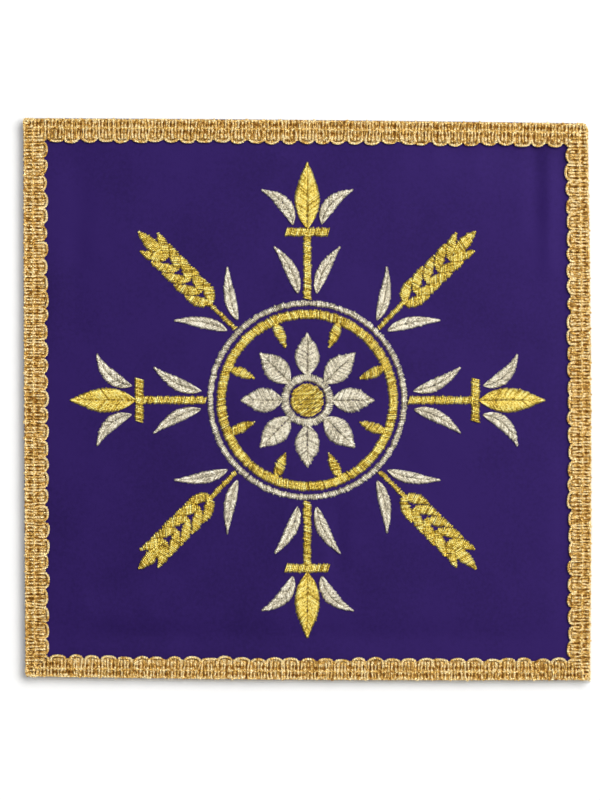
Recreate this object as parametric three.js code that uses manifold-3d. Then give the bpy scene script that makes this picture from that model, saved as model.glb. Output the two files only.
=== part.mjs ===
// A chalice pall: a stiff square of purple cloth with a white lining underneath, a gold
// scalloped braid sewn round its edge, and raised embroidery in gold and silver thread:
// a rosette in a cusped ring, with four lilies and four ears of wheat growing out of it.
// Millimetres, +Z up. The pall lies flat on the plane z = 0, with the origin under its middle.

import * as THREE from "three";
import { mergeVertices } from "three/addons/utils/BufferGeometryUtils.js";
import Module from "manifold-3d";

const wasm = await Module();
wasm.setup();

// Layers, from the plane that the pall lies on upwards.
const CLEARANCE = 0.3; // between pieces that are sewn together
const LINING_THICKNESS = 1;
const FACE_THICKNESS = 2.2; // purple cloth drawn over its stiffening
const BRAID_THICKNESS = 1.2;
const STITCH_RISE = 0.7; // height of a padded satin stitch

const FACE_BOTTOM = LINING_THICKNESS + CLEARANCE;
const FACE_TOP = FACE_BOTTOM + FACE_THICKNESS;
const TRIM_BASE = FACE_TOP + CLEARANCE;

// The hand-sewn outline is a little out of square. Corners run clockwise from the top left.
const CORNERS = [
  { name: "top_left", x: -82.3, y: 81.7, radius: 0.9 },
  { name: "top_right", x: 81.5, y: 80.2, radius: 2.3 },
  { name: "bottom_right", x: 82.2, y: -81.7, radius: 1.2 },
  { name: "bottom_left", x: -81.7, y: -80.7, radius: 2.3 },
];

// Each side runs from its own corner to the next and bows outwards by bow at its middle.
// The seam has rolled over: one cloth lies further in from the outline than the other.
const SIDES = [
  { name: "top", bow: 0.25, faceInset: 0.1, liningInset: 0.6 },
  { name: "right", bow: 0.65, faceInset: 0.9, liningInset: 0.1 },
  { name: "bottom", bow: 0.45, faceInset: 1, liningInset: 0.1 },
  { name: "left", bow: 0.1, faceInset: 0.1, liningInset: 0.6 },
];

// Soft folds of the face cloth: a line on the face, how far it rises (or sinks, below 0)
// and how far it spreads to each side. Each dies away at both ends of its line.
const FOLDS = [
  { name: "top right trough", x1: 37, y1: 73.5, x2: 80, y2: 72, rise: -0.42, spread: 8.5 },
  { name: "right ridge", x1: 70, y1: 40, x2: 70.2, y2: 73, rise: 0.11, spread: 1.8 },
  { name: "right edge trough", x1: 77, y1: -78, x2: 77, y2: 78, rise: -0.25, spread: 5 },
  { name: "upper ridge", x1: 26, y1: 44, x2: 27, y2: 70, rise: 0.06, spread: 4 },
  { name: "left trough", x1: -67, y1: 14, x2: -66.5, y2: 78, rise: -0.12, spread: 4 },
  { name: "lower left trough", x1: -64, y1: -58, x2: -34, y2: -45, rise: -0.2, spread: 4.5 },
  { name: "lower lily trough", x1: 9, y1: -29, x2: 8.4, y2: -52, rise: -0.14, spread: 2.2 },
  { name: "bottom edge trough", x1: -76, y1: -68, x2: 76, y2: -68.5, rise: -0.12, spread: 3.6 },
  { name: "bottom left trough", x1: -66, y1: -67.5, x2: -30, y2: -68, rise: -0.1, spread: 3.5 },
];
const FOLD_FADE = 9.5; // folds die out over this distance from the outline

// Gold braid. Its yarn turns back at both edges, so an outer scallop faces each inner notch.
const BRAID_WIDTH = 7.4; // to the tips of its inner scallops
const INNER_DEPTH = 1.1;
const OUTER_DEPTH = 0.8;
const SCALLOPS = 34; // along the outer edge of a side
const MITRE_SCALLOPS = 1.5; // taken up by the mitre at each end of the inner edge
const SCALLOP_POINTS = 4;

// Embroidery. Distances run outwards from the middle of the pall, along an axis or a diagonal.
const EYE = { radius: 4.9, segments: 20 };
const ROSETTE = { petals: 8, baseInner: 5.3, baseOuter: 7.8, root: 7, tip: 19.4, halfWidth: 3.5 };
const RING = { inner: 23.6, outer: 26.2, segments: 48 };
const CUSP = { root: 25.4, tip: 16.6, halfWidth: 1.5 };
const FINE_RING = { inner: 27.3, outer: 28.8, segments: 48 };
const LILY_STEM = { from: 29.4, to: 49, halfWidth: 1.15 };
const COLLAR = { at: 48.6, halfLength: 6, halfWidth: 1.25 };
const LILY_MIDDLE = { root: 49, tip: 68.8, halfWidth: 3.5 };
const LILY_SIDE = { root: [51, 4.2], bend: [58.2, 5.3], tip: [60.8, 13.4], halfWidth: 1.9 };
const LILY_LEAF = { root: [31, 2.7], bend: [38, 3.6], tip: [44.4, 9.6], halfWidth: 1.7 };
const EAR_STEM = { from: 29.4, bend: 45, to: 61.5, sway: 0.8, halfWidth: 0.65 };
const GRAIN = { first: 39.5, pairs: 5, pitch: 4.6, length: 7.6, halfWidth: 1.55, angle: 0.5 };
const TOP_GRAIN = { root: 60, tip: 68.8, halfWidth: 1.75 };
const EAR_LEAF = { root: [30.8, 2.2], bend: [37, 4.2], tip: [43.6, 11], halfWidth: 1.6 };
const LEAF_BELLY = 0.85; // under 1 sets a leaf's widest point nearer to its root
const LEAF_END = 0.22; // half width of the blunt end of a leaf
const LEAF_STEPS = 7;
const GRAIN_STEPS = 5;

const QUARTERS = ["east", "north", "west", "south"];
const DIAGONALS = ["north_east", "north_west", "south_west", "south_east"];
const QUARTER_TURN = Math.PI / 2;

const materials = {
  face: clothMaterial(0x33235f, 0.55, 0),
  lining: clothMaterial(0xe8e4da, 0.85, 0),
  braid: clothMaterial(0xbf9858, 0.38, 0.8),
  goldThread: clothMaterial(0xc9a93a, 0.34, 0.75),
  silverThread: clothMaterial(0xccc4ae, 0.34, 0.6),
};

function clothMaterial(color, roughness, metalness) {
  return new THREE.MeshStandardMaterial({ color, roughness, metalness });
}

// Solids

function geometryOf(positions, faces) {
  const geometry = new THREE.BufferGeometry();
  geometry.setAttribute("position", new THREE.Float32BufferAttribute(positions, 3));
  geometry.setIndex(faces);
  return geometry;
}

function solidOf(geometry) {
  const bare = geometry.clone();
  bare.deleteAttribute("normal");
  bare.deleteAttribute("uv");
  const merged = mergeVertices(bare, 1e-4);
  return new wasm.Manifold(
    new wasm.Mesh({
      numProp: 3,
      vertProperties: merged.getAttribute("position").array,
      triVerts: new Uint32Array(merged.index.array),
    }),
  );
}

function joined(geometries) {
  const [first, ...others] = geometries.map(solidOf);
  const whole = others.reduce((sum, solid) => sum.add(solid), first);
  const { vertProperties, triVerts } = whole.getMesh();
  return geometryOf(Array.from(vertProperties), Array.from(triVerts));
}

function piece(name, geometry, material) {
  const mesh = new THREE.Mesh(geometry, material);
  mesh.name = name;
  return mesh;
}

// Outline

const cornerPoints = CORNERS.map(({ x, y }) => new THREE.Vector2(x, y));
const nextSide = (side) => (side + 1) % SIDES.length;
const previousSide = (side) => (side + SIDES.length - 1) % SIDES.length;
const sideways = SIDES.map((_, side) =>
  cornerPoints[nextSide(side)].clone().sub(cornerPoints[side]).normalize(),
);
const outwards = sideways.map(({ x, y }) => new THREE.Vector2(-y, x));

function insetCorner(side, insetOf) {
  const before = previousSide(side);
  return cornerPoints[side]
    .clone()
    .addScaledVector(outwards[before], -insetOf(before))
    .addScaledVector(outwards[side], -insetOf(side));
}

// The point at a share, 0 to 1, of a side's length.
function sidePoint(side, share, insetOf) {
  return insetCorner(side, insetOf)
    .lerp(insetCorner(nextSide(side), insetOf), share)
    .addScaledVector(outwards[side], SIDES[side].bow * 4 * share * (1 - share));
}

// The point of the square that the four bowed sides span, at u from left to right and v upwards.
function patchPoint(u, v, insetOf) {
  const [top, right, bottom, left] = [
    sidePoint(0, u, insetOf),
    sidePoint(1, 1 - v, insetOf),
    sidePoint(2, 1 - u, insetOf),
    sidePoint(3, v, insetOf),
  ];
  return new THREE.Vector2()
    .addScaledVector(top, v)
    .addScaledVector(bottom, 1 - v)
    .addScaledVector(left, 1 - u)
    .addScaledVector(right, u)
    .addScaledVector(insetCorner(0, insetOf), -(1 - u) * v)
    .addScaledVector(insetCorner(1, insetOf), -u * v)
    .addScaledVector(insetCorner(2, insetOf), -u * (1 - v))
    .addScaledVector(insetCorner(3, insetOf), -(1 - u) * (1 - v));
}

// Draws the square's rings into arcs within each corner's radius.
function roundedShare(u, v) {
  const radius = nearestCorner(u, v).radius / cornerPoints[0].distanceTo(cornerPoints[1]);
  const across = radius - Math.min(u, 1 - u);
  const up = radius - Math.min(v, 1 - v);
  if (across <= 0 || up <= 0) return [u, v];
  const shrink = Math.max(across, up) / Math.hypot(across, up);
  const share = (value, reach) => (value < 0.5 ? radius - reach : 1 - radius + reach);
  return [share(u, across * shrink), share(v, up * shrink)];
}

function nearestCorner(u, v) {
  const top = u < 0.5 ? 0 : 1;
  const bottom = u < 0.5 ? 3 : 2;
  return CORNERS[v < 0.5 ? bottom : top];
}

// Face cloth and lining

// How the turned edge rounds over, in multiples of the edge's radius and the half thickness.
const EDGE_ROWS = [
  { inwards: 0, rise: 0 },
  { inwards: 0.3, rise: 0.72 },
  { inwards: 1, rise: 1 },
];

function gridLines(edgeRadius, cells) {
  const side = cornerPoints[0].distanceTo(cornerPoints[1]);
  const edge = EDGE_ROWS.map(({ inwards }) => (inwards * edgeRadius) / side);
  const first = edge.at(-1);
  const middle = Array.from({ length: cells - 1 }, (_, k) => first + ((1 - 2 * first) * (k + 1)) / cells);
  return [...edge, ...middle, ...edge.toReversed().map((line) => 1 - line)];
}

// A flat sheet with rounded edges whose upper side is lifted by surface(x, y).
function clothSlab({ insetOf, bottom, top, edgeRadius, cells, surface }) {
  const lines = gridLines(edgeRadius, cells);
  const last = lines.length - 1;
  const middle = (bottom + top) / 2;
  const half = (top - bottom) / 2;
  const innermost = EDGE_ROWS.length - 1;
  const positions = [];
  const faces = [];
  const add = (x, y, z) => positions.push(x, y, z) / 3 - 1;
  const quad = (a, b, c, d) => faces.push(a, b, c, a, c, d);
  const upper = lines.map(() => []);
  const lower = lines.map(() => []);

  for (let j = 0; j <= last; j += 1) {
    for (let i = 0; i <= last; i += 1) {
      const ring = Math.min(i, j, last - i, last - j);
      const { x, y } = patchPoint(...roundedShare(lines[i], lines[j]), insetOf);
      const rise = half * EDGE_ROWS[Math.min(ring, innermost)].rise;
      const lift = ring >= innermost ? surface(x, y) : 0;
      upper[j][i] = add(x, y, middle + rise + lift);
      if (ring === 0) lower[j][i] = upper[j][i];
      else if (ring <= innermost) lower[j][i] = add(x, y, middle - rise);
    }
  }
  for (let j = 0; j < last; j += 1) {
    for (let i = 0; i < last; i += 1) {
      quad(upper[j][i], upper[j][i + 1], upper[j + 1][i + 1], upper[j + 1][i]);
      const inEdge = Math.min(i, j, last - 1 - i, last - 1 - j) < innermost;
      if (inEdge) quad(lower[j][i], lower[j + 1][i], lower[j + 1][i + 1], lower[j][i + 1]);
    }
  }

  // The flat of the underside fans out from its middle.
  const hub = add(0, 0, bottom);
  const far = last - innermost;
  for (let k = innermost; k < far; k += 1) {
    faces.push(hub, lower[innermost][k + 1], lower[innermost][k]);
    faces.push(hub, lower[far][k], lower[far][k + 1]);
    faces.push(hub, lower[k][innermost], lower[k + 1][innermost]);
    faces.push(hub, lower[k + 1][far], lower[k][far]);
  }
  return geometryOf(positions, faces);
}

function foldLift(x, y) {
  const here = new THREE.Vector3(x, y, 0);
  const foot = new THREE.Vector3();
  const lift = FOLDS.reduce((sum, { x1, y1, x2, y2, rise, spread }) => {
    const line = new THREE.Line3(new THREE.Vector3(x1, y1, 0), new THREE.Vector3(x2, y2, 0));
    const share = line.closestPointToPointParameter(here, true);
    const away = line.at(share, foot).distanceTo(here) / spread;
    const taper = 1 - (2 * share - 1) ** 4;
    return sum + rise * taper * Math.exp(-away * away);
  }, 0);
  const fromEdge = Math.min(cornerPoints[2].x - Math.abs(x), cornerPoints[0].y - Math.abs(y));
  return lift * THREE.MathUtils.smoothstep(fromEdge, 0, FOLD_FADE);
}

function facePanel() {
  return clothSlab({
    insetOf: (side) => SIDES[side].faceInset,
    bottom: FACE_BOTTOM,
    top: FACE_TOP,
    edgeRadius: 1.2,
    cells: 29,
    surface: foldLift,
  });
}

function liningPanel() {
  return clothSlab({
    insetOf: (side) => SIDES[side].liningInset,
    bottom: 0,
    top: LINING_THICKNESS,
    edgeRadius: 0.6,
    cells: 8,
    surface: () => 0,
  });
}

// Braid

// One side's length of braid, cut to a mitre at both ends.
function braidLength(side) {
  const after = nextSide(side);
  const trough = BRAID_WIDTH - INNER_DEPTH;
  const fromRadius = CORNERS[side].radius;
  const toRadius = CORNERS[after].radius;
  const long = cornerPoints[side].distanceTo(cornerPoints[after]);
  const pitch = long / SCALLOPS;
  const cut = CLEARANCE / 2;
  const arcShare = 1 - Math.SQRT1_2;
  const at = (along, inwards) =>
    sidePoint(side, along / long, () => 0).addScaledVector(outwards[side], -inwards);
  const lobe = (k) => Math.sin((Math.PI * (k % SCALLOP_POINTS)) / SCALLOP_POINTS) ** 0.7;
  const places = (scallops) => Array.from({ length: scallops * SCALLOP_POINTS + 1 }, (_, k) => k);

  const outerEdge = places(SCALLOPS)
    .map((k) => ({ along: (k * pitch) / SCALLOP_POINTS, inwards: OUTER_DEPTH * (1 - lobe(k)) }))
    .filter(({ along }) => along > fromRadius + cut && along < long - toRadius - cut)
    .map(({ along, inwards }) => at(along, inwards));
  const innerEdge = places(SCALLOPS - 2 * MITRE_SCALLOPS).map((k) =>
    at(long - (MITRE_SCALLOPS + k / SCALLOP_POINTS) * pitch, trough + INNER_DEPTH * lobe(k)),
  );

  const shape = new THREE.Shape([
    at(arcShare * fromRadius + cut, arcShare * fromRadius),
    ...outerEdge,
    at(long - arcShare * toRadius - cut, arcShare * toRadius),
    at(long - trough - cut, trough),
    ...innerEdge,
    at(trough + cut, trough),
  ]);
  const geometry = new THREE.ExtrudeGeometry(shape, { depth: BRAID_THICKNESS, bevelEnabled: false });
  return geometry.translate(0, 0, TRIM_BASE);
}

// Embroidery

// A padded satin stitch has a flat foot and a rounded back.
const STITCH_SECTION = [
  { across: -1, up: 0 },
  { across: 1, up: 0 },
  { across: 0.62, up: 1 },
  { across: -0.62, up: 1 },
];

// A band of padded satin stitch laid along a plane curve.
function satinBand(spine, halfWidthAt, steps) {
  const size = STITCH_SECTION.length;
  const positions = [];
  const faces = [];
  for (let step = 0; step <= steps; step += 1) {
    const share = step / steps;
    const point = spine.getPoint(share);
    const tangent = spine.getTangent(share);
    const half = halfWidthAt(share);
    const rise = STITCH_RISE * Math.min(1, 0.6 + 0.4 * half);
    for (const { across, up } of STITCH_SECTION) {
      const x = point.x - tangent.y * across * half;
      const y = point.y + tangent.x * across * half;
      positions.push(x, y, TRIM_BASE + up * rise);
    }
  }
  for (let step = 0; step < steps; step += 1) {
    for (let k = 0; k < size; k += 1) {
      const [a, b] = [step * size + k, step * size + ((k + 1) % size)];
      faces.push(a, b, b + size, a, b + size, a + size);
    }
  }
  const end = steps * size;
  faces.push(0, 2, 1, 0, 3, 2, end, end + 1, end + 2, end, end + 2, end + 3);
  return geometryOf(positions, faces);
}

function bar(x1, y1, x2, y2, halfWidth) {
  const spine = new THREE.LineCurve(new THREE.Vector2(x1, y1), new THREE.Vector2(x2, y2));
  return satinBand(spine, () => halfWidth, 1);
}

// A leaf, petal or grain that bends from its root to its tip.
function leaf({ root, bend, tip, halfWidth }, steps = LEAF_STEPS) {
  const points = [root, bend, tip].map(([x, y]) => new THREE.Vector2(x, y));
  const spine = new THREE.QuadraticBezierCurve(...points);
  const belly = (share) => halfWidth * Math.sin(Math.PI * share ** LEAF_BELLY);
  return satinBand(spine, (share) => Math.max(LEAF_END, belly(share)), steps);
}

function straightLeaf({ root, tip, halfWidth }, steps = LEAF_STEPS) {
  return leaf({ root: [root, 0], bend: [(root + tip) / 2, 0], tip: [tip, 0], halfWidth }, steps);
}

// A leaf on one side (1 or -1) of the line that its numbers are measured along.
function sideLeaf({ root, bend, tip, halfWidth }, side, steps = LEAF_STEPS) {
  const mirror = ([along, across]) => [along, across * side];
  return leaf({ root: mirror(root), bend: mirror(bend), tip: mirror(tip), halfWidth }, steps);
}

// Copies of a shape set evenly about the middle, the first turned by offset of a step.
function around(geometry, count, offset) {
  const step = (2 * Math.PI) / count;
  return Array.from({ length: count }, (_, k) => geometry.clone().rotateZ((k + offset) * step));
}

// A round shape from a profile of radius and height, turned about the vertical axis.
function lathed(profile, segments) {
  const points = profile.map(([radius, up]) => new THREE.Vector2(radius, up));
  return new THREE.LatheGeometry(points, segments).rotateX(QUARTER_TURN).translate(0, 0, TRIM_BASE);
}

function stitchedRing({ inner, outer, segments }) {
  const shoulder = (outer - inner) * 0.19;
  const profile = [
    [inner, 0],
    [outer, 0],
    [outer - shoulder, STITCH_RISE],
    [inner + shoulder, STITCH_RISE],
    [inner, 0],
  ];
  return lathed(profile, segments);
}

function rosetteEye() {
  const { radius, segments } = EYE;
  const profile = [
    [0, 0],
    [radius, 0],
    [radius * 0.8, STITCH_RISE * 0.8],
    [0, STITCH_RISE],
  ];
  return lathed(profile, segments);
}

function rosette() {
  const { petals, baseInner, baseOuter } = ROSETTE;
  const base = stitchedRing({ inner: baseInner, outer: baseOuter, segments: EYE.segments });
  return joined([base, ...around(straightLeaf(ROSETTE), petals, 0)]);
}

// The gold ring, with a cusp that points inwards between each two petals.
function cuspedRing() {
  const cusps = around(straightLeaf(CUSP), ROSETTE.petals, 0.5);
  return joined([stitchedRing(RING), ...cusps]);
}

function lily() {
  const { at, halfLength, halfWidth } = COLLAR;
  return joined([
    bar(LILY_STEM.from, 0, LILY_STEM.to, 0, LILY_STEM.halfWidth),
    bar(at, -halfLength, at, halfLength, halfWidth),
    straightLeaf(LILY_MIDDLE),
  ]);
}

function wheatEar() {
  const { from, bend, to, sway, halfWidth } = EAR_STEM;
  const spine = new THREE.QuadraticBezierCurve(
    new THREE.Vector2(from, 0),
    new THREE.Vector2(bend, sway),
    new THREE.Vector2(to, 0),
  );
  const parts = [satinBand(spine, () => halfWidth, GRAIN_STEPS)];
  const along = Math.cos(GRAIN.angle) * GRAIN.length;
  const across = Math.sin(GRAIN.angle) * GRAIN.length;
  for (let pair = 0; pair < GRAIN.pairs; pair += 1) {
    const foot = GRAIN.first + pair * GRAIN.pitch;
    const grain = {
      root: [foot, 0],
      bend: [foot + along * 0.45, across * 0.7],
      tip: [foot + along, across],
      halfWidth: GRAIN.halfWidth,
    };
    parts.push(sideLeaf(grain, 1, GRAIN_STEPS), sideLeaf(grain, -1, GRAIN_STEPS));
  }
  parts.push(straightLeaf(TOP_GRAIN, GRAIN_STEPS));
  return joined(parts);
}

// Assembly

const pall = new THREE.Group();
pall.add(piece("lining", liningPanel(), materials.lining));
pall.add(piece("face", facePanel(), materials.face));
SIDES.forEach(({ name }, side) => {
  pall.add(piece(`braid_${name}`, braidLength(side), materials.braid));
});

const embroidery = new THREE.Group();
embroidery.add(piece("rosette_eye", rosetteEye(), materials.goldThread));
embroidery.add(piece("rosette", rosette(), materials.silverThread));
embroidery.add(piece("cusped_ring", cuspedRing(), materials.goldThread));
embroidery.add(piece("fine_ring", stitchedRing(FINE_RING), materials.silverThread));

// A gold stem and head with its silver leaves, turned to lie along an axis or a diagonal.
function spray(turn, headName, head, leaves) {
  const group = new THREE.Group();
  group.rotation.z = turn;
  group.add(piece(headName, head, materials.goldThread));
  for (const [name, numbers] of Object.entries(leaves)) {
    group.add(piece(`${name}_left`, sideLeaf(numbers, 1), materials.silverThread));
    group.add(piece(`${name}_right`, sideLeaf(numbers, -1), materials.silverThread));
  }
  return group;
}

QUARTERS.forEach((name, quarter) => {
  const leaves = { [`lily_petal_${name}`]: LILY_SIDE, [`lily_leaf_${name}`]: LILY_LEAF };
  embroidery.add(spray(quarter * QUARTER_TURN, `lily_${name}`, lily(), leaves));
});

DIAGONALS.forEach((name, quarter) => {
  const leaves = { [`wheat_leaf_${name}`]: EAR_LEAF };
  embroidery.add(spray((quarter + 0.5) * QUARTER_TURN, `wheat_${name}`, wheatEar(), leaves));
});
pall.add(embroidery);

export default pall;
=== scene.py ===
"""A chalice pall: purple cloth with gold and silver embroidery, white lining and gold braid."""

import math

import bpy
import numpy as np
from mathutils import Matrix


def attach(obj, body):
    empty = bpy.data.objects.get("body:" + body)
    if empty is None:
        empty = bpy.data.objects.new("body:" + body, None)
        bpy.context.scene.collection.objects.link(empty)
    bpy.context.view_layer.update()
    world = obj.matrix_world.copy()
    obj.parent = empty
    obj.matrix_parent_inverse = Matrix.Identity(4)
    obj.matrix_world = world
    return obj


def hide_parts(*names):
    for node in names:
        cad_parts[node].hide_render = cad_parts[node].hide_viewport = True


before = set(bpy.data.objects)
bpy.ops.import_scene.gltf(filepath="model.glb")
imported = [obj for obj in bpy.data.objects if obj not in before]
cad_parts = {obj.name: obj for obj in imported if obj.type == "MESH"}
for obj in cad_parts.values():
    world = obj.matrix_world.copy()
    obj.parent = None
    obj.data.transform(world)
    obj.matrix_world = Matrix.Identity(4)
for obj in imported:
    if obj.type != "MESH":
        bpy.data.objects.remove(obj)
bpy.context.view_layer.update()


# Lining: a square of white plain-weave cotton under the pall. Its edge is turned in and sewn
# to the face cloth's, and it has rolled out past the face along the right and bottom edges.
MM = 0.001
CORNERS = np.array([(-82.3, 81.7), (81.5, 80.2), (82.2, -81.7), (-81.7, -80.7)])
CORNER_RADII = np.array([0.9, 2.3, 1.2, 2.3])
SIDE_NAMES = ("top", "right", "bottom", "left")
SIDE_BOWS = (0.25, 0.65, 0.45, 0.1)
SIDE_RUNS = np.roll(CORNERS, -1, axis=0) - CORNERS
SIDE_LENGTHS = np.linalg.norm(SIDE_RUNS, axis=1)
SIDE_OUTS = np.stack([-SIDE_RUNS[:, 1], SIDE_RUNS[:, 0]], axis=1) / SIDE_LENGTHS[:, None]
SEAM_HEIGHT = 1.2
SEAM_GAP = 0.02
LINING_INSETS = (0.6, -0.3, -0.1, 0.2)
LINING_HEM = 0.6
LINING_CELLS = 76


def inset_corner(side, insets):
    before = SIDE_OUTS[side - 1] * insets[side - 1]
    return CORNERS[side] - before - SIDE_OUTS[side] * insets[side]


def along_side(side, share, insets=(0, 0, 0, 0)):
    """Points at shares, 0 to 1, of a hand-sewn side that bows a little outwards."""
    share = np.asarray(share, dtype=float)[..., None]
    start = inset_corner(side, insets)
    end = inset_corner((side + 1) % 4, insets)
    bow = SIDE_OUTS[side] * SIDE_BOWS[side] * 4 * share * (1 - share)
    return start + (end - start) * share + bow


def within_sides(u, v, insets):
    """Points of the square that the four sides span, at u from left to right and v upwards."""
    top, bottom = along_side(0, u, insets), along_side(2, 1 - u, insets)
    left, right = along_side(3, v, insets), along_side(1, 1 - v, insets)
    u, v = u[..., None], v[..., None]
    corners = (
        (1 - u) * v * inset_corner(0, insets)
        + u * v * inset_corner(1, insets)
        + u * (1 - v) * inset_corner(2, insets)
        + (1 - u) * (1 - v) * inset_corner(3, insets)
    )
    return top * v + bottom * (1 - v) + left * (1 - u) + right * u - corners


def rounded_corners(u, v):
    """Shares of the square whose rings bend into arcs within each corner's radius."""
    nearest = np.where(v > 0.5, np.where(u > 0.5, 1, 0), np.where(u > 0.5, 2, 3))
    radius = CORNER_RADII[nearest] / SIDE_LENGTHS[0]
    across = np.maximum(radius - np.minimum(u, 1 - u), 0)
    up = np.maximum(radius - np.minimum(v, 1 - v), 0)
    reach = np.hypot(across, up)
    in_corner = (across > 0) & (up > 0)
    shrink = np.where(in_corner, np.maximum(across, up) / np.maximum(reach, 1e-9), 1)
    across, up = across * shrink, up * shrink
    round_u = np.where(u < 0.5, radius - across, 1 - radius + across)
    round_v = np.where(v < 0.5, radius - up, 1 - radius + up)
    return np.where(in_corner, round_u, u), np.where(in_corner, round_v, v)


def make_mesh(name, points, faces):
    """A smooth mesh object from points in millimetres."""
    mesh = bpy.data.meshes.new(name)
    mesh.from_pydata((np.asarray(points) * MM).tolist(), [], faces)
    mesh.shade_smooth()
    mesh.update()
    made = bpy.data.objects.new(name, mesh)
    bpy.context.collection.objects.link(made)
    return made


def sewn_cloth(name, insets, low, high, edge, cells, lift):
    """Cloth with turned, rounded edges, its upper side lifted by lift(x, y)."""
    turn = np.linspace(0, math.pi / 2, 6)
    hem = edge * (1 - np.cos(turn)) / SIDE_LENGTHS[0]
    middle = np.linspace(hem[-1], 1 - hem[-1], cells + 1)
    lines = np.concatenate([hem[:-1], middle, (1 - hem[:-1])[::-1]])
    count = len(lines)
    step = np.minimum(np.arange(count), np.arange(count)[::-1])
    ring = np.minimum.outer(step, step)
    rise = np.sin(turn)[np.minimum(ring, len(turn) - 1)] * (high - low) / 2
    u, v = np.meshgrid(lines, lines)
    flat = within_sides(*rounded_corners(u, v), insets)
    raised = np.where(ring >= len(turn) - 1, lift(flat[..., 0], flat[..., 1]), 0)
    centre = (low + high) / 2
    upper = np.dstack([flat, centre + rise + raised]).reshape(-1, 3)
    inner = (ring > 0).ravel()
    lower = np.dstack([flat, centre - rise]).reshape(-1, 3)[inner]
    above = np.arange(count * count).reshape(count, count)
    below = above.copy().ravel()
    below[inner] = count * count + np.arange(inner.sum())
    below = below.reshape(count, count)
    faces = [(above[:-1, :-1], above[:-1, 1:], above[1:, 1:], above[1:, :-1])]
    faces.append((below[:-1, :-1], below[1:, :-1], below[1:, 1:], below[:-1, 1:]))
    quads = np.concatenate([np.stack(corner, axis=-1).reshape(-1, 4) for corner in faces])
    return make_mesh(name, np.concatenate([upper, lower]), quads.tolist())


def ripple(x, y, size, seed):
    """Soft uneven waves about size millimetres long, between about -1 and 1."""
    draw = np.random.default_rng(seed)
    total = 0
    for _ in range(9):
        heading, start = draw.uniform(0, 2 * math.pi, 2)
        length = size * draw.uniform(0.7, 1.6)
        travel = x * math.cos(heading) + y * math.sin(heading)
        total = total + np.sin(2 * math.pi * travel / length + start)
    return total / 4


class Finish:
    """A material and short ways to add nodes to it."""

    def __init__(self, name):
        self.material = bpy.data.materials.new(name)
        self.material.use_nodes = True
        self.tree = self.material.node_tree
        self.shader = self.tree.nodes["Principled BSDF"]

    def node(self, kind, inputs=None, **settings):
        made = self.tree.nodes.new(kind)
        for key, value in settings.items():
            setattr(made, key, value)
        for key, value in (inputs or {}).items():
            self.feed(made.inputs[key], value)
        return made

    def feed(self, socket, value):
        if isinstance(value, bpy.types.NodeSocket):
            self.tree.links.new(value, socket)
        else:
            socket.default_value = value

    def reckon(self, operation, *values):
        return self.node("ShaderNodeMath", dict(enumerate(values)), operation=operation).outputs[0]

    def shades(self, share, *stops):
        """A colour for each value of share, from (place, colour) stops."""
        ramp = self.node("ShaderNodeValToRGB", {"Fac": share})
        while len(ramp.color_ramp.elements) < len(stops):
            ramp.color_ramp.elements.new(1)
        for element, (place, colour) in zip(ramp.color_ramp.elements, stops):
            element.position = place
            element.color = (*colour, 1)
        return ramp.outputs["Color"]

    def clouds(self, size, detail=3, roughness=0.55):
        """Uneven noise with patches about size millimetres across."""
        place = self.node("ShaderNodeTexCoord").outputs["Object"]
        inputs = {"Vector": place, "Scale": 1 / (size * MM), "Detail": detail, "Roughness": roughness}
        return self.node("ShaderNodeTexNoise", inputs).outputs["Fac"]

    def threads(self, pitch, slant):
        """Waves of threads that cross at pitch millimetres, leaning by slant."""
        place = self.node("ShaderNodeTexCoord").outputs["Object"]
        axes = self.node("ShaderNodeSeparateXYZ", {"Vector": place})
        turns = 2 * math.pi / (pitch * MM)
        leaning = self.reckon("MULTIPLY_ADD", axes.outputs["Y"], slant, axes.outputs["X"])
        warp = self.reckon("SINE", self.reckon("MULTIPLY", leaning, turns))
        weft = self.reckon("SINE", self.reckon("MULTIPLY", axes.outputs["Y"], turns))
        return self.reckon("MULTIPLY", warp, weft)

    def bump(self, height, depth):
        """Relief of depth millimetres, wired to the shader."""
        relief = self.node("ShaderNodeBump", {"Height": height, "Distance": depth * MM})
        self.feed(self.shader.inputs["Normal"], relief.outputs["Normal"])

    def set(self, **values):
        for key, value in values.items():
            self.feed(self.shader.inputs[key.replace("_", " ")], value)


lining_cloth = Finish("white_lining_cotton")
lining_shade = lining_cloth.clouds(14)
lining_colour = lining_cloth.shades(
    lining_shade, (0.3, (0.88, 0.84, 0.76)), (0.7, (0.95, 0.92, 0.85))
)
lining_cloth.set(Base_Color=lining_colour, Roughness=0.85, Sheen_Weight=0.15)
lining_cloth.bump(lining_cloth.threads(0.5, 0), 0.06)


def lining_slack(x, y):
    return 0.03 * ripple(x, y, 18, 5)


lining = sewn_cloth(
    "lining_cloth", LINING_INSETS, 0, SEAM_HEIGHT - SEAM_GAP, LINING_HEM, LINING_CELLS, lining_slack
)
lining.data.materials.append(lining_cloth.material)
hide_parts("lining")
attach(lining, "root")


# Face: purple satin-faced cloth drawn over stiffening, its edges turned under and sewn to the
# lining. The stitching has pulled it into a few soft folds, which die out under the braid.
FACE_TOP = 3.5
FACE_INSETS = (0.1, 0.9, 1.0, 0.1)
FACE_HEM = 1.15
FACE_CELLS = 150
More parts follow.
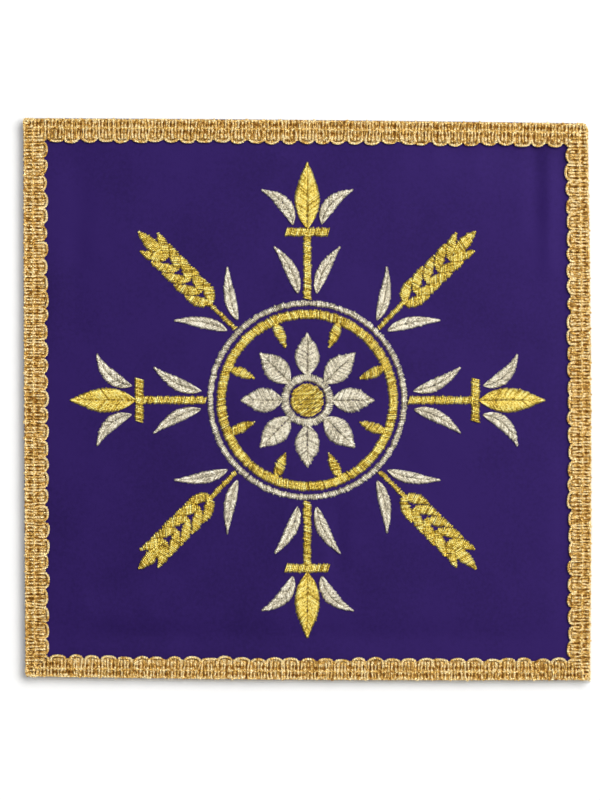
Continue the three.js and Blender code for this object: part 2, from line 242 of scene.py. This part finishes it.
# Each fold has the two ends of its line, how far it rises or sinks, and how far it spreads.
FOLDS = (
    ((37, 73.5), (80, 72), -0.25, 8.5),
    ((50, 73), (92, 72), -0.35, 10),
    ((65.6, 46), (65.8, 86), -0.16, 2.5),
    ((69.9, 34), (70.1, 80), 0.21, 2.2),
    ((77, -78), (77, 78), -0.25, 5),
    ((26, 44), (27, 70), 0.06, 4),
    ((-67, 14), (-66.5, 78), -0.12, 4),
    ((-64, -58), (-34, -45), -0.2, 4.5),
    ((9, -29), (8.4, -52), -0.14, 2.2),
    ((-76, -68), (76, -68.5), -0.12, 3.6),
    ((-66, -67.5), (-30, -68), -0.1, 3.5),
)
FOLD_FADE = 9.5


def face_lift(x, y):
    here = np.stack([x, y], axis=-1)
    lift = 0.03 * ripple(x, y, 26, 2) + 0.012 * ripple(x, y, 7, 3)
    for start, end, rise, spread in FOLDS:
        start, run = np.array(start), np.subtract(end, start)
        share = np.clip((here - start) @ run / (run @ run), 0, 1)
        away = np.linalg.norm(here - start - share[..., None] * run, axis=-1) / spread
        lift = lift + rise * (1 - (2 * share - 1) ** 4) * np.exp(-(away**2))
    from_edge = np.minimum(CORNERS[2, 0] - np.abs(x), CORNERS[0, 1] - np.abs(y))
    fade = np.clip(from_edge / FOLD_FADE, 0, 1)
    return lift * fade * fade * (3 - 2 * fade)


face_cloth = Finish("purple_satin")
face_patches = face_cloth.clouds(30, 2)
face_flecks = face_cloth.clouds(1.1, 2, 0.7)
face_tone = face_cloth.reckon("MULTIPLY_ADD", face_flecks, 0.8, face_patches)
face_colour = face_cloth.shades(
    face_tone, (0.6, (0.0088, 0.0033, 0.0407)), (1.0, (0.0145, 0.0056, 0.0607))
)
face_cloth.set(
    Base_Color=face_colour,
    Roughness=0.38,
    Specular_IOR_Level=0.29,
    Specular_Tint=(0.36, 0.2, 1, 1),
    Sheen_Weight=0.03,
    Sheen_Roughness=0.45,
    Sheen_Tint=(0.45, 0.35, 1, 1),
)
face_cloth.bump(face_cloth.threads(0.42, 0.5), 0.01)

face = sewn_cloth("face_cloth", FACE_INSETS, SEAM_HEIGHT, FACE_TOP, FACE_HEM, FACE_CELLS, face_lift)
face.data.materials.append(face_cloth.material)
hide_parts("face")
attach(face, "root")


# Braid: crocheted gold braid, sewn on top of the cloth along each side and mitred at the corners.
# A plied metallic yarn loops to and fro across it, pulled down on both sides of a middle cord.
BRAID_BASE = 3.8
BRAID_WIDTH = 7.4
SCALLOPS = 34
FIRST_SCALLOP = 2
SETBACKS = (0, 0.25, 0.6, 0)
EDGE_INSET = 0.5
STRAND = 0.26
PLY_SPREAD = 0.2
PLY_PITCH = 1.3
RIB_PITCH = 1.0
RIB_FOOT = 0.36
RIB_RISE = 0.54
RIB_POINTS = 20
ARCH_INSET = 0.48
ARCH_HALF_SPAN = 1.96
ARCH_BEND = 0.95
ARCH_POINTS = 52
# Each straight rib has its place beside the middle of an arch and the gap it leaves at the crown.
STRAIGHT_RIBS = ((-0.97, 0.95), (0, 0.8), (0.97, 0.95))
# Each cord has its distance in from the edge, its height over the cloth and a strand's radius.
CORDS = ((0.6, 0.44, 0.19), (2.95, 0.58, 0.23))
CORD_STEP = 0.3
PULLED_DOWN = (1.8, 4.1)
PULL_REACH = 0.5
PULL_DEPTH = 0.16
MITRE_LENGTH = 7.6
MITRE_RIBS = 7
MITRE_EDGE = 3.4
LONGEST_RIB = 6.5
GROUND_START = 1.4
GROUND_PITCH = 0.65
GROUND_END = 6.45
GROUND_SCALLOP = 0.25
GROUND_WIDTH = 0.36
GROUND_THICKNESS = 0.2


def yarn_points(paths, across, thick, sides):
    """Rings of points round yarns. paths holds points in millimetres, one row for each yarn."""
    run = np.gradient(paths, axis=1)
    run /= np.linalg.norm(run, axis=-1, keepdims=True)
    beside = np.cross(run, (0, 0, 1))
    beside /= np.linalg.norm(beside, axis=-1, keepdims=True)
    over = np.cross(beside, run)
    turn = 2 * math.pi * np.arange(sides) / sides - math.pi / 2
    wide = (across[..., None] * np.cos(turn))[..., None] * beside[:, :, None]
    tall = (thick[..., None] * np.sin(turn))[..., None] * over[:, :, None]
    return paths[:, :, None] + wide + tall


class Yarns:
    """Collects yarns, then makes one mesh of them with each yarn's own length and tone."""

    def __init__(self):
        self.points, self.faces, self.lay = [], [], []
        self.count = 0

    def add(self, paths, across, thick, tone, sides=6):
        paths = np.asarray(paths, dtype=float)
        yarns, steps, _ = paths.shape
        across = np.broadcast_to(across, (yarns, steps))
        thick = np.broadcast_to(thick, (yarns, steps))
        points = yarn_points(paths, across, thick, sides)
        index = self.count + np.arange(points.size // 3).reshape(yarns, steps, sides)
        ahead = np.roll(index, -1, axis=2)
        quads = (index[:, :-1], index[:, 1:], ahead[:, 1:], ahead[:, :-1])
        self.faces += np.stack(quads, axis=-1).reshape(-1, 4).tolist()
        self.faces += index[:, 0].tolist() + index[:, -1, ::-1].tolist()
        lengths = np.linalg.norm(np.diff(paths, axis=1), axis=-1)
        along = np.concatenate([np.zeros((yarns, 1)), np.cumsum(lengths, axis=1)], axis=1)
        lay = np.zeros((yarns, steps, sides, 3))
        lay[..., 0] = along[..., None]
        lay[..., 1] = np.arange(sides) / sides
        lay[..., 2] = np.broadcast_to(tone, (yarns, steps))[..., None]
        self.points.append(points.reshape(-1, 3))
        self.lay.append(lay.reshape(-1, 3))
        self.count += points.size // 3

    def make(self, name, finish):
        made = make_mesh(name, np.concatenate(self.points), self.faces)
        lay = made.data.attributes.new("yarn_lay", "FLOAT_VECTOR", "POINT")
        lay.data.foreach_set("vector", np.concatenate(self.lay).ravel())
        made.data.materials.append(finish.material)
        return made


def metal_yarn(name, dark, middle, light, twist, relief, grain, painted_glints, **shader):
    """Foil-wrapped thread: its colour follows each yarn's tone and the lay of the foil, with glints and
    dark flecks of shade painted in by noise.
    """
    finish = Finish(name)
    lay = finish.node("ShaderNodeAttribute", attribute_name="yarn_lay").outputs["Vector"]
    axes = finish.node("ShaderNodeSeparateXYZ", {"Vector": lay})
    travel = finish.reckon("DIVIDE", axes.outputs["X"], twist)
    phase = finish.reckon("ADD", axes.outputs["Y"], travel)
    wrap = finish.reckon("SINE", finish.reckon("MULTIPLY", phase, 2 * math.pi))
    # Cloud noise paints glints and dark flecks of shade into the colour; the same noise gives the
    # relief.
    glint_noise = finish.clouds(grain, 2, 0.7)
    shade = finish.reckon("MULTIPLY_ADD", wrap, 0.1, axes.outputs["Z"])
    shade = finish.reckon("MULTIPLY_ADD", finish.reckon("SUBTRACT", glint_noise, 0.5), painted_glints, shade)
    colour = finish.shades(shade, (0.05, dark), (0.5, middle), (0.95, light))
    finish.set(Base_Color=colour, **shader)
    finish.bump(finish.reckon("MULTIPLY_ADD", glint_noise, 0.8, wrap), relief)
    return finish


gold_braid = metal_yarn(
    "gold_braid_yarn",
    (0.3, 0.118, 0.007),
    (0.815, 0.5, 0.115),
    (0.98, 0.79, 0.42),
    twist=0.45,
    relief=0.06,
    grain=0.85,
    painted_glints=2.6,
    Metallic=0.6,
    Roughness=0.3,
)


def braid_place(side, along, inwards, height):
    """Points of a side's braid, at distances along the side and in from the outline."""
    flat = along_side(side, along / SIDE_LENGTHS[side])
    inwards = inwards + SETBACKS[side] * (1 - inwards / BRAID_WIDTH)
    flat = flat - SIDE_OUTS[side] * inwards[..., None]
    return np.concatenate([flat, np.broadcast_to(height, along.shape)[..., None]], axis=-1)


def plied(paths, spread, pitch, draw):
    """Two strands twisted round each path, one after the other for each path."""
    run = np.gradient(paths, axis=1)
    run /= np.linalg.norm(run, axis=-1, keepdims=True)
    beside = np.cross(run, (0, 0, 1))
    steps = np.linalg.norm(np.diff(paths, axis=1), axis=-1)
    travel = np.concatenate([np.zeros((len(paths), 1)), np.cumsum(steps, axis=1)], axis=1)
    angle = 2 * math.pi * (travel / pitch + draw.uniform(0, 1, (len(paths), 1)))
    strands = []
    for half in (0, math.pi):
        offset = (np.cos(angle + half) * spread)[..., None] * beside
        offset[..., 2] += np.sin(angle + half) * spread * 0.85
        strands.append(paths + offset)
    return np.stack(strands, axis=1).reshape(-1, *paths.shape[1:])


def evenly(points, count):
    """A line of points spaced evenly along the one given."""
    steps = np.linalg.norm(np.diff(points, axis=0), axis=1)
    travel = np.concatenate([[0], np.cumsum(steps)])
    wanted = np.linspace(0, travel[-1], count)
    return np.stack([np.interp(wanted, travel, column) for column in points.T], axis=1)


def uneven(count, knots, amount, draw):
    """Slow random changes along a line of count points."""
    return np.interp(np.linspace(0, knots - 1, count), np.arange(knots), draw.normal(0, amount, knots))


def arch_line(half_span, bend, half_foot, foot, tip):
    """One loop of yarn, from the outer edge over an inner scallop and back."""
    quarter = np.linspace(0, math.pi / 2, 8)
    rise = np.stack([np.sin(quarter), 1 - np.cos(quarter)], axis=1)
    left = (-half_foot, foot) + rise * (half_foot - half_span, 0.7)
    over = np.linspace(math.pi, 0, 24)
    crown = np.stack([half_span * np.cos(over), tip - bend * (1 - np.sin(over))], axis=1)
    return evenly(np.concatenate([left, crown, (left * (-1, 1))[::-1]]), ARCH_POINTS)


def pulled_down(inwards):
    return sum(np.exp(-(((inwards - place) / PULL_REACH) ** 2)) for place in PULLED_DOWN)


def braid_ribs(yarns, side, lines, draw):
    """Lays plied ribs along lines of (along, inwards) points, squeezed where they are pulled down and
    painted darker there as shade.
    """
    along, inwards = lines[..., 0], lines[..., 1]
    pull = pulled_down(inwards)
    height = BRAID_BASE + RIB_RISE - PULL_DEPTH * pull
    height = height + np.clip(draw.normal(0, 0.04, (len(lines), 1)), -0.08, 0.08)
    spread = PLY_SPREAD * (1 - 0.65 * pull)
    paths = plied(braid_place(side, along, inwards, height), spread, PLY_PITCH, draw)
    strand = np.repeat(STRAND * (1 - 0.3 * pull), 2, axis=0)
    knots = lines.shape[1] // 2
    own = np.array([draw.normal(0.75, 0.07) + uneven(2 * knots, knots, 0.28, draw) for _ in lines])
    # Ribs are painted darker where they are pulled down: painted shade in the dips, leaving the bulges
    # between lighter.
    tone = np.clip(own - 0.18 * pull, 0.05, 0.95)
    yarns.add(paths, strand, strand, np.repeat(tone, 2, axis=0), sides=5)


def braid_scallops(yarns, side, pitch, draw):
    """An arch of yarn round each inner scallop, with straight ribs inside it."""
    count = SCALLOPS - 2 * FIRST_SCALLOP + 1
    centres = (FIRST_SCALLOP + np.arange(count)) * pitch + draw.normal(0, 0.13, count)
    tips = BRAID_WIDTH - ARCH_INSET + draw.normal(0, 0.14, count)
    share = np.linspace(0, 1, RIB_POINTS)
    straights, arches = [], []
    for centre, tip in zip(centres, tips):
        for place, gap in STRAIGHT_RIBS:
            along = centre + place + draw.normal(0, 0.08) + uneven(RIB_POINTS, 7, 0.1, draw)
            straights.append(np.stack([along, RIB_FOOT + (tip - gap - RIB_FOOT) * share], axis=1))
        half_span = ARCH_HALF_SPAN * draw.normal(1, 0.04)
        bend = ARCH_BEND * draw.normal(1, 0.12)
        arch = arch_line(half_span, bend, pitch / 2, RIB_FOOT, tip)
        lean = draw.normal(0, 0.06) * (arch[:, 1] - 3) + uneven(ARCH_POINTS, 9, 0.12, draw)
        sway = uneven(ARCH_POINTS, 9, 0.1, draw)
        arches.append(np.stack([centre + arch[:, 0] + lean, arch[:, 1] + sway], axis=1))
    braid_ribs(yarns, side, np.array(straights), draw)
    braid_ribs(yarns, side, np.array(arches), draw)


def corner_cut(along, radius):
    """How far the rounded corner cuts in at a distance along the side from it."""
    inside = np.clip(radius - along, 0, radius)
    return radius - np.sqrt(radius**2 - inside**2)


def braid_corners(yarns, side, length, draw):
    """Ribs that shorten towards each mitre, where the braid is folded, and the edge that turns there."""
    share = np.linspace(0, 1, 24)
    for at_end in (False, True):
        radius = CORNER_RADII[(side + at_end) % 4]
        steps = MITRE_LENGTH - RIB_PITCH * np.arange(1, MITRE_RIBS + 1)
        steps = steps + draw.normal(0, 0.06, MITRE_RIBS)
        start = RIB_FOOT + corner_cut(steps, radius) + draw.normal(0, 0.05, MITRE_RIBS)
        end = np.minimum(steps + 0.15 + draw.normal(0, 0.12, MITRE_RIBS), LONGEST_RIB)
        long = end - start > 0.5
        inwards = start[long, None] + (end - start)[long, None] * share
        along = np.broadcast_to(steps[long, None], inwards.shape)
        arc = math.pi / 4 * np.clip(share * 2 - 1, 0, 1)
        edge_along = radius - (radius - EDGE_INSET) * np.sin(arc)
        edge_along = edge_along + np.clip(1 - share * 2, 0, 1) * (MITRE_EDGE - radius)
        edge_inwards = radius - (radius - EDGE_INSET) * np.cos(arc)
        lines = np.stack([along, inwards], axis=-1)
        lines = np.concatenate([lines, np.stack([edge_along, edge_inwards], axis=-1)[None]])
        if at_end:
            lines[..., 0] = length - lines[..., 0]
        braid_ribs(yarns, side, lines, draw)


def braid_ground(yarns, side, length, draw):
    """Flat yarns under the gaps between the ribs, toned darker than the ribs and darker still where the
    ribs are pulled down: painted shade in the gaps.
    """
    ribs = np.arange(GROUND_START, length - GROUND_START + 0.1, GROUND_PITCH)
    from_corner = np.minimum(ribs, length - ribs)
    scallop = GROUND_SCALLOP * np.cos(2 * math.pi * SCALLOPS * ribs / length)
    end = np.minimum(GROUND_END + scallop, from_corner)
    share = np.linspace(0, 1, 11)
    inwards = EDGE_INSET + np.maximum(end - EDGE_INSET, 0.2)[:, None] * share
    along = np.broadcast_to(ribs[:, None], inwards.shape)
    # The ground's lower tone, and its darkening along the pulled-down lines, are painted shade between
    # the ribs.
    tone = draw.normal(0.55, 0.12, (len(ribs), 1)) - 0.45 * pulled_down(inwards)
    paths = braid_place(side, along, inwards, BRAID_BASE + 0.05)
    yarns.add(paths, GROUND_WIDTH, GROUND_THICKNESS, tone, sides=5)


def braid_cords(yarns, side, length, draw):
    """Plied cords along the outer edge and the middle, over the ribs."""
    for place, rise, strand in CORDS:
        along = np.arange(place + 0.2, length - place - 0.2, CORD_STEP)
        start_cut = corner_cut(along, CORNER_RADII[side])
        end_cut = corner_cut(length - along, CORNER_RADII[(side + 1) % 4])
        inwards = np.maximum(place, np.maximum(start_cut, end_cut) + 0.45)
        inwards = inwards + 0.08 * ripple(along, 0, 9, 11 + side)
        height = BRAID_BASE + rise + 0.06 * np.cos(2 * math.pi * along / RIB_PITCH)
        cords = plied(braid_place(side, along, inwards, height)[None], strand * 0.8, RIB_PITCH, draw)
        tone = 0.5 + 0.25 * ripple(along, inwards, 2.3, side)
        yarns.add(cords, strand, strand, np.stack([tone, tone[::-1]]), sides=5)


def crocheted_braid(side):
    draw = np.random.default_rng(40 + side)
    length = SIDE_LENGTHS[side]
    yarns = Yarns()
    braid_ground(yarns, side, length, draw)
    braid_scallops(yarns, side, length / SCALLOPS, draw)
    braid_corners(yarns, side, length, draw)
    braid_cords(yarns, side, length, draw)
    return yarns.make(f"gold_braid_{SIDE_NAMES[side]}", gold_braid)


for side, name in enumerate(SIDE_NAMES):
    braid = crocheted_braid(side)
    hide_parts(f"braid_{name}")
    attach(braid, "root")


# Rosette and rings: raised machine embroidery at the middle of the cloth, in gold and silver.
# Petals are stitched in two slanting halves, rings straight across, and the eye in short rows.
STITCH_PITCH = 0.5
THREAD = 0.26
STITCH_RISE = 0.72
BAR_LEAN = 0.3
LEAF_LEAN = 0.25
LEAF_BELLY = 0.85
PETALS = 8
EYE_RADIUS = 4.8
EYE_STITCH = 2.6
# Each ring has its inner and outer radius.
ROSETTE_RING = (5.4, 7.6)
CUSPED_RING = (23.6, 26.2)
FINE_RING = (27.3, 28.8)
# Each petal or leaf has its root, bend and tip, along and across its axis, and half its width.
PETAL = ((7.2, 0), (13.2, 0), (19.4, 0), 3.5)
CUSP = ((24.2, 0), (20.4, 0), (16.6, 0), 1.5)


def thread_paths(starts, ends, rise, start_drop=1.0):
    """Stitches that dive into the cloth at both ends and arch over the padding between."""
    share = np.linspace(0, 1, 7)
    flat = starts[:, None] + (ends - starts)[:, None] * share[:, None]
    span = 2 * share - 1
    arch = np.sqrt(1 - np.abs(span) ** 3.4)
    low_start = 1 - (1 - share) ** 3 * (1 - start_drop)
    arch = np.where(span < 0, np.maximum(arch, 1 - start_drop) * low_start, arch)
    height = FACE_TOP - 0.1 + rise[:, None] * arch
    return np.concatenate([flat, height[..., None]], axis=-1)


def lay_stitches(yarns, starts, ends, draw, start_drop=1.0):
    """Lays stitches side by side, uneven at their ends."""
    count = len(starts)
    width = np.linalg.norm(ends - starts, axis=1)
    run = (ends - starts) / width[:, None]
    starts = starts + draw.normal(0, 0.04, (count, 2)) - run * draw.normal(0, 0.11, (count, 1))
    ends = ends + draw.normal(0, 0.04, (count, 2)) + run * draw.normal(0, 0.11, (count, 1))
    rise = STITCH_RISE * np.clip(0.55 + 0.25 * width, 0, 1) * draw.normal(1, 0.05, count)
    tone = np.clip(draw.normal(0.5, 0.18, (count, 1)), 0.08, 0.92)
    across = THREAD * draw.normal(1, 0.08, (count, 1))
    yarns.add(thread_paths(starts, ends, rise, start_drop), across, THREAD * 0.8, tone, sides=6)


def spine_points(root, bend, tip, count):
    """A bending line's points and the directions square to it."""
    root, bend, tip = (np.array(place, dtype=float) for place in (root, bend, tip))
    share = np.linspace(0, 1, count)[:, None]
    points = (1 - share) ** 2 * root + 2 * share * (1 - share) * bend + share**2 * tip
    run = (1 - share) * (bend - root) + share * (tip - bend)
    run = run / np.linalg.norm(run, axis=1, keepdims=True)
    return points, np.stack([-run[:, 1], run[:, 0]], axis=1)


def stitch_count(root, tip, stretch=1.0):
    return max(6, int(np.linalg.norm(np.subtract(tip, root)) * stretch / STITCH_PITCH))


def leaf_width(share, half_width):
    return half_width * np.sin(math.pi * share**LEAF_BELLY)


def satin_leaf(yarns, turn, root, bend, tip, half_width, draw):
    """A narrow leaf or grain in stitches straight across it, leaning a little."""
    count = stitch_count(root, tip, 1.08)
    points, beside = spine_points(root, bend, tip, count)
    wide = leaf_width(np.linspace(0.06, 0.95, count), half_width)[:, None]
    lean = np.stack([beside[:, 1], -beside[:, 0]], axis=1) * LEAF_LEAN
    starts, ends = points + (beside + lean) * wide, points - (beside + lean) * wide
    lay_stitches(yarns, starts @ turn, ends @ turn, draw)


def veined_leaf(yarns, turn, root, bend, tip, half_width, draw):
    """A broad leaf in two halves, whose stitches slant forwards from the vein to the edge."""
    count = stitch_count(root, tip, 1.15)
    shares = np.linspace(0, 0.9, count)
    ahead = np.minimum(shares + 0.13, 0.985)
    dense, across = spine_points(root, bend, tip, 200)
    at = (ahead * 199).astype(int)
    wide = leaf_width(ahead, half_width)[:, None]
    starts = dense[(shares * 199).astype(int)]
    for side in (1, -1):
        ends = dense[at] + side * across[at] * wide
        lay_stitches(yarns, (starts + side * across[at] * 0.08) @ turn, ends @ turn, draw, 0.45)


def straight_bar(yarns, turn, start, end, half_width, draw):
    """A bar of satin stitch between two points."""
    count = stitch_count(start, end)
    points, beside = spine_points(start, np.add(start, end) / 2, end, count)
    slant = np.stack([beside[:, 1], -beside[:, 0]], axis=1) * BAR_LEAN
    starts = points + (beside + slant) * half_width
    ends = points - (beside + slant) * half_width
    lay_stitches(yarns, starts @ turn, ends @ turn, draw)


def stitched_ring(yarns, inner, outer, draw):
    count = int(math.pi * (inner + outer) / STITCH_PITCH)
    angle = 2 * math.pi * np.arange(count) / count
    lead = angle + 0.35 * (outer - inner) / (outer + inner)
    starts = inner * np.stack([np.cos(angle), np.sin(angle)], axis=1)
    ends = outer * np.stack([np.cos(lead), np.sin(lead)], axis=1)
    lay_stitches(yarns, starts, ends, draw)


def turned(angle):
    """Turns rows of points by an angle."""
    return np.array([(math.cos(angle), math.sin(angle)), (-math.sin(angle), math.cos(angle))])


def filled_disc(yarns, radius, length, draw):
    """Rows of short stitches, each row set half a stitch along from the last."""
    starts, ends = [], []
    for row, across in enumerate(np.arange(-radius + 0.25, radius - 0.2, STITCH_PITCH)):
        reach = math.sqrt(radius**2 - across**2)
        cuts = np.arange(-radius - length * (row % 3) / 3, radius, length)
        for cut in cuts:
            first, last = max(cut, -reach), min(cut + length, reach)
            if last - first > 0.5:
                starts.append((first, across))
                ends.append((last, across))
    slant = turned(0.6)
    lay_stitches(yarns, np.array(starts) @ slant, np.array(ends) @ slant, draw)


gold_thread = metal_yarn(
    "gold_embroidery_thread",
    (0.28, 0.16, 0.006),
    (0.88, 0.64, 0.082),
    (1.0, 0.93, 0.37),
    twist=0.5,
    relief=0.05,
    grain=0.5,
    painted_glints=2.6,
    Metallic=0.55,
    Roughness=0.3,
)
silver_thread = metal_yarn(
    "silver_embroidery_thread",
    (0.25, 0.22, 0.16),
    (0.7, 0.625, 0.46),
    (0.99, 0.94, 0.79),
    twist=0.5,
    relief=0.05,
    grain=0.5,
    painted_glints=2.6,
    Metallic=0.4,
    Roughness=0.3,
)


def stitched_piece(yarns, name, finish, slot, *nodes):
    made = yarns.make(name, finish)
    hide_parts(*nodes)
    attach(made, "root")


sewing = np.random.default_rng(7)
eye = Yarns()
filled_disc(eye, EYE_RADIUS, EYE_STITCH, sewing)
stitched_piece(eye, "rosette_eye_stitches", gold_thread, "gold_thread", "rosette_eye")

rosette = Yarns()
stitched_ring(rosette, *ROSETTE_RING, sewing)
for petal in range(PETALS):
    turn = turned(2 * math.pi * petal / PETALS)
    veined_leaf(rosette, turn, *PETAL, sewing)
stitched_piece(rosette, "rosette_stitches", silver_thread, "silver_thread", "rosette")

cusped_ring = Yarns()
stitched_ring(cusped_ring, *CUSPED_RING, sewing)
for cusp in range(PETALS):
    turn = turned(2 * math.pi * (cusp + 0.5) / PETALS)
    satin_leaf(cusped_ring, turn, *CUSP, sewing)
stitched_piece(cusped_ring, "cusped_ring_stitches", gold_thread, "gold_thread", "cusped_ring")

fine_ring = Yarns()
stitched_ring(fine_ring, *FINE_RING, sewing)
stitched_piece(fine_ring, "fine_ring_stitches", silver_thread, "silver_thread", "fine_ring")


# Lilies: one along each axis, with a gold stem, collar and middle petal, and silver side petals
# and leaves. All are raised satin stitch, worked straight onto the face cloth.
QUARTERS = ("east", "north", "west", "south")
HANDS = {"left": 1, "right": -1}
# Each bar has its two ends and half its width.
LILY_STEM = ((29.5, 0), (47.6, 0), 1.1)
LILY_COLLAR = ((48.6, -6), (48.6, 6), 1.2)
LILY_MIDDLE = ((49.8, 0), (59, 0), (68.8, 0), 3.5)
LILY_PETAL = ((51, 4.2), (58.2, 5.3), (60.8, 13.4), 1.9)
LILY_LEAF = ((31, 2.7), (38, 3.6), (44.4, 9.6), 1.7)


def side_leaf(yarns, turn, hand, leaf, draw):
    *places, half_width = leaf
    mirrored = [(along, across * hand) for along, across in places]
    veined_leaf(yarns, turn, *mirrored, half_width, draw)


lilies, lily_petals, lily_leaves = Yarns(), Yarns(), Yarns()
for quarter in range(len(QUARTERS)):
    turn = turned(math.pi / 2 * quarter)
    straight_bar(lilies, turn, *LILY_STEM, sewing)
    straight_bar(lilies, turn, *LILY_COLLAR, sewing)
    veined_leaf(lilies, turn, *LILY_MIDDLE, sewing)
    for hand in HANDS.values():
        side_leaf(lily_petals, turn, hand, LILY_PETAL, sewing)
        side_leaf(lily_leaves, turn, hand, LILY_LEAF, sewing)
lily_nodes = [f"lily_{quarter}" for quarter in QUARTERS]
petal_nodes = [f"lily_petal_{quarter}_{hand}" for quarter in QUARTERS for hand in HANDS]
leaf_nodes = [f"lily_leaf_{quarter}_{hand}" for quarter in QUARTERS for hand in HANDS]
stitched_piece(lilies, "lily_stitches", gold_thread, "gold_thread", *lily_nodes)
stitched_piece(lily_petals, "lily_petal_stitches", silver_thread, "silver_thread", *petal_nodes)
stitched_piece(lily_leaves, "lily_leaf_stitches", silver_thread, "silver_thread", *leaf_nodes)


# Wheat: an ear along each diagonal, with a thin gold stem, gold grains set in pairs and one at
# the tip, and two silver leaves at its foot. Worked like the lilies.
DIAGONALS = ("north_east", "north_west", "south_west", "south_east")
WHEAT_STEM = ((29.5, 0.1), (41, 0.3), 0.6)
WHEAT_LEAF = ((30.8, 2.2), (37, 4.2), (43.6, 11), 1.6)
TOP_GRAIN = ((60, 0), (64.4, 0), (68.8, 0), 1.75)
FIRST_GRAIN = 39.5
GRAIN_PAIRS = 5
GRAIN_PITCH = 4.6
GRAIN_HALF_WIDTH = 1.5
GRAIN_LENGTH = 7.6
GRAIN_ANGLE = 0.5

wheat, wheat_leaves = Yarns(), Yarns()
for quarter in range(len(DIAGONALS)):
    turn = turned(math.pi / 2 * (quarter + 0.5))
    straight_bar(wheat, turn, *WHEAT_STEM, sewing)
    along = math.cos(GRAIN_ANGLE) * GRAIN_LENGTH
    across = math.sin(GRAIN_ANGLE) * GRAIN_LENGTH
    for pair in range(GRAIN_PAIRS):
        foot = FIRST_GRAIN + pair * GRAIN_PITCH
        for hand in HANDS.values():
            root = (foot, 0.2 * hand)
            bend = (foot + along * 0.45, hand * across * 0.7)
            tip = (foot + along, hand * across)
            satin_leaf(wheat, turn, root, bend, tip, GRAIN_HALF_WIDTH, sewing)
    satin_leaf(wheat, turn, *TOP_GRAIN, sewing)
    for hand in HANDS.values():
        side_leaf(wheat_leaves, turn, hand, WHEAT_LEAF, sewing)
ear_nodes = [f"wheat_{diagonal}" for diagonal in DIAGONALS]
blade_nodes = [f"wheat_leaf_{diagonal}_{hand}" for diagonal in DIAGONALS for hand in HANDS]
stitched_piece(wheat, "wheat_stitches", gold_thread, "gold_thread", *ear_nodes)
stitched_piece(wheat_leaves, "wheat_leaf_stitches", silver_thread, "silver_thread", *blade_nodes)


# Studio: a plain white table, one large soft light from the upper right in a pale room, and a
# camera straight above with a long lens.
TABLE_REACH = 900
VIEW_CENTRE = (-2.11, 0.05)
VIEW_HEIGHT = 231.2
VIEW_PLANE = 4

table_corners = [(x * TABLE_REACH, y * TABLE_REACH, 0) for x, y in ((-1, -1), (1, -1), (1, 1), (-1, 1))]
floor = make_mesh("table", table_corners, [(0, 1, 2, 3)])
table_top = Finish("white_table")
table_colour = table_top.shades(
    table_top.clouds(60), (0.3, (0.84, 0.84, 0.835)), (0.7, (0.87, 0.87, 0.865))
)
table_top.set(Base_Color=table_colour, Roughness=0.9, Specular_IOR_Level=0.1)
floor.data.materials.append(table_top.material)
floor.location.z = -0.05 * MM

lamp = bpy.data.lights.new("soft_light", "AREA")
lamp.shape = "RECTANGLE"
lamp.size = 1.8
lamp.size_y = 1.35
lamp.energy = 59
light = bpy.data.objects.new("soft_light", lamp)
light.location = (0.74, 0.64, 2.02)
light.rotation_euler = (-light.location).to_track_quat("-Z", "Y").to_euler()
bpy.context.collection.objects.link(light)

surround = bpy.data.worlds.new("studio")
surround.use_nodes = True
surround.node_tree.nodes["Background"].inputs["Color"].default_value = (1, 1, 1, 1)
surround.node_tree.nodes["Background"].inputs["Strength"].default_value = 0.36
scene = bpy.context.scene
scene.world = surround
scene.view_settings.view_transform = "Standard"

view = bpy.data.cameras.new("camera")
view.lens = 240
view.clip_end = 10
camera = bpy.data.objects.new("camera", view)
camera_height = VIEW_HEIGHT * view.lens / view.sensor_width + VIEW_PLANE
camera.location = np.array([*VIEW_CENTRE, camera_height]) * MM
bpy.context.collection.objects.link(camera)
scene.camera = camera
